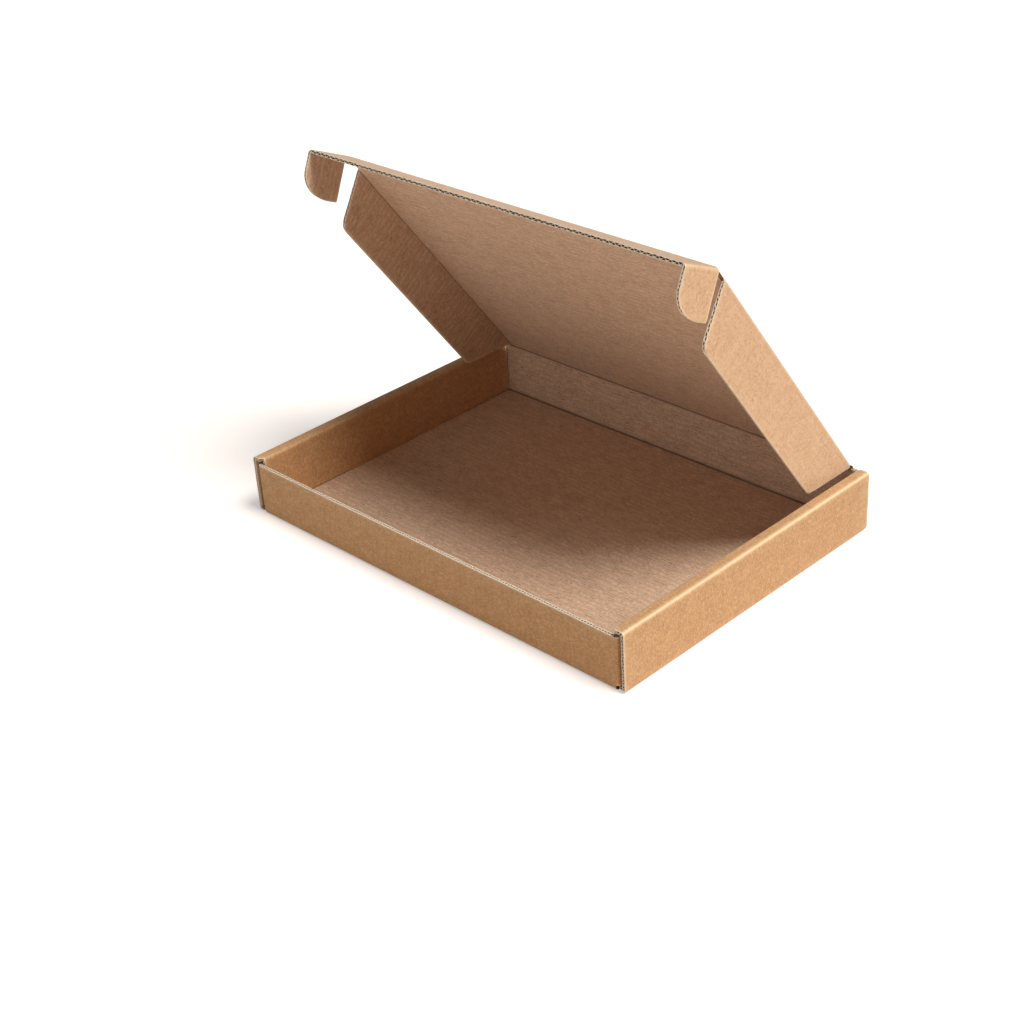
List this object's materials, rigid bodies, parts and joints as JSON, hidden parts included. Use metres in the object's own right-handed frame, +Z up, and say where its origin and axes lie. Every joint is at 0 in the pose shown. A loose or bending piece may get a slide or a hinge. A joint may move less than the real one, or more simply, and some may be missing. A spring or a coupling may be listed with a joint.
{
  "type": "large letter mailer box",
  "caption": "Open flat corrugated mailer tray with rolled double side walls and a hinged tuck-in lid with side flaps and ears",
  "frame": {"origin": "middle of the tray's underside, which is the underside of the whole object's box", "axes": "+X along the front wall, the longest extent; +Y from the front wall to the hinged back wall; +Z up"},
  "size_m": [0.227, 0.162, 0.1635],
  "materials": {
    "kraft_board": "uncoated brown kraft liner, matt"
  },
  "bodies": {
    "tray": {"tray": "kraft_board"},
    "lid": {"lid": "kraft_board"},
    "tuck": {"tuck_flap": "kraft_board"},
    "ear_l": {"ear_left": "kraft_board"},
    "ear_r": {"ear_right": "kraft_board"},
    "side_l": {"side_flap_left": "kraft_board"},
    "side_r": {"side_flap_right": "kraft_board"}
  },
  "joints": [
    {"name": "lid_hinge", "type": "hinge", "parent": "tray", "child": "lid", "pos_m": [0, 0.0802, 0.0282], "axis": [-1, 0, 0], "range_deg": [-53.5, 41.5]},
    {"name": "tuck_fold", "type": "hinge", "parent": "lid", "child": "tuck", "pos_m": [0, -0.01271, 0.15376], "axis": [1, 0, 0], "range_deg": [-53, 68]},
    {"name": "ear_left_fold", "type": "hinge", "parent": "tuck", "child": "ear_l", "pos_m": [-0.1059, -0.01271, 0.15376], "axis": [0, 0.9171, -0.3987], "range_deg": [0, 90]},
    {"name": "ear_right_fold", "type": "hinge", "parent": "tuck", "child": "ear_r", "pos_m": [0.1059, -0.01271, 0.15376], "axis": [0, -0.9171, 0.3987], "range_deg": [0, 90]},
    {"name": "side_left_fold", "type": "hinge", "parent": "lid", "child": "side_l", "pos_m": [-0.1032, 0.07956, 0.02772], "axis": [0, -0.5948, 0.8039], "range_deg": [0, 60]},
    {"name": "side_right_fold", "type": "hinge", "parent": "lid", "child": "side_r", "pos_m": [0.1032, 0.07956, 0.02772], "axis": [0, 0.5948, -0.8039], "range_deg": [0, 60]}
  ],
  "couplings": [
    {"joint": "tuck_fold", "follows": "lid_hinge", "ratio": -1.27}
  ]
}
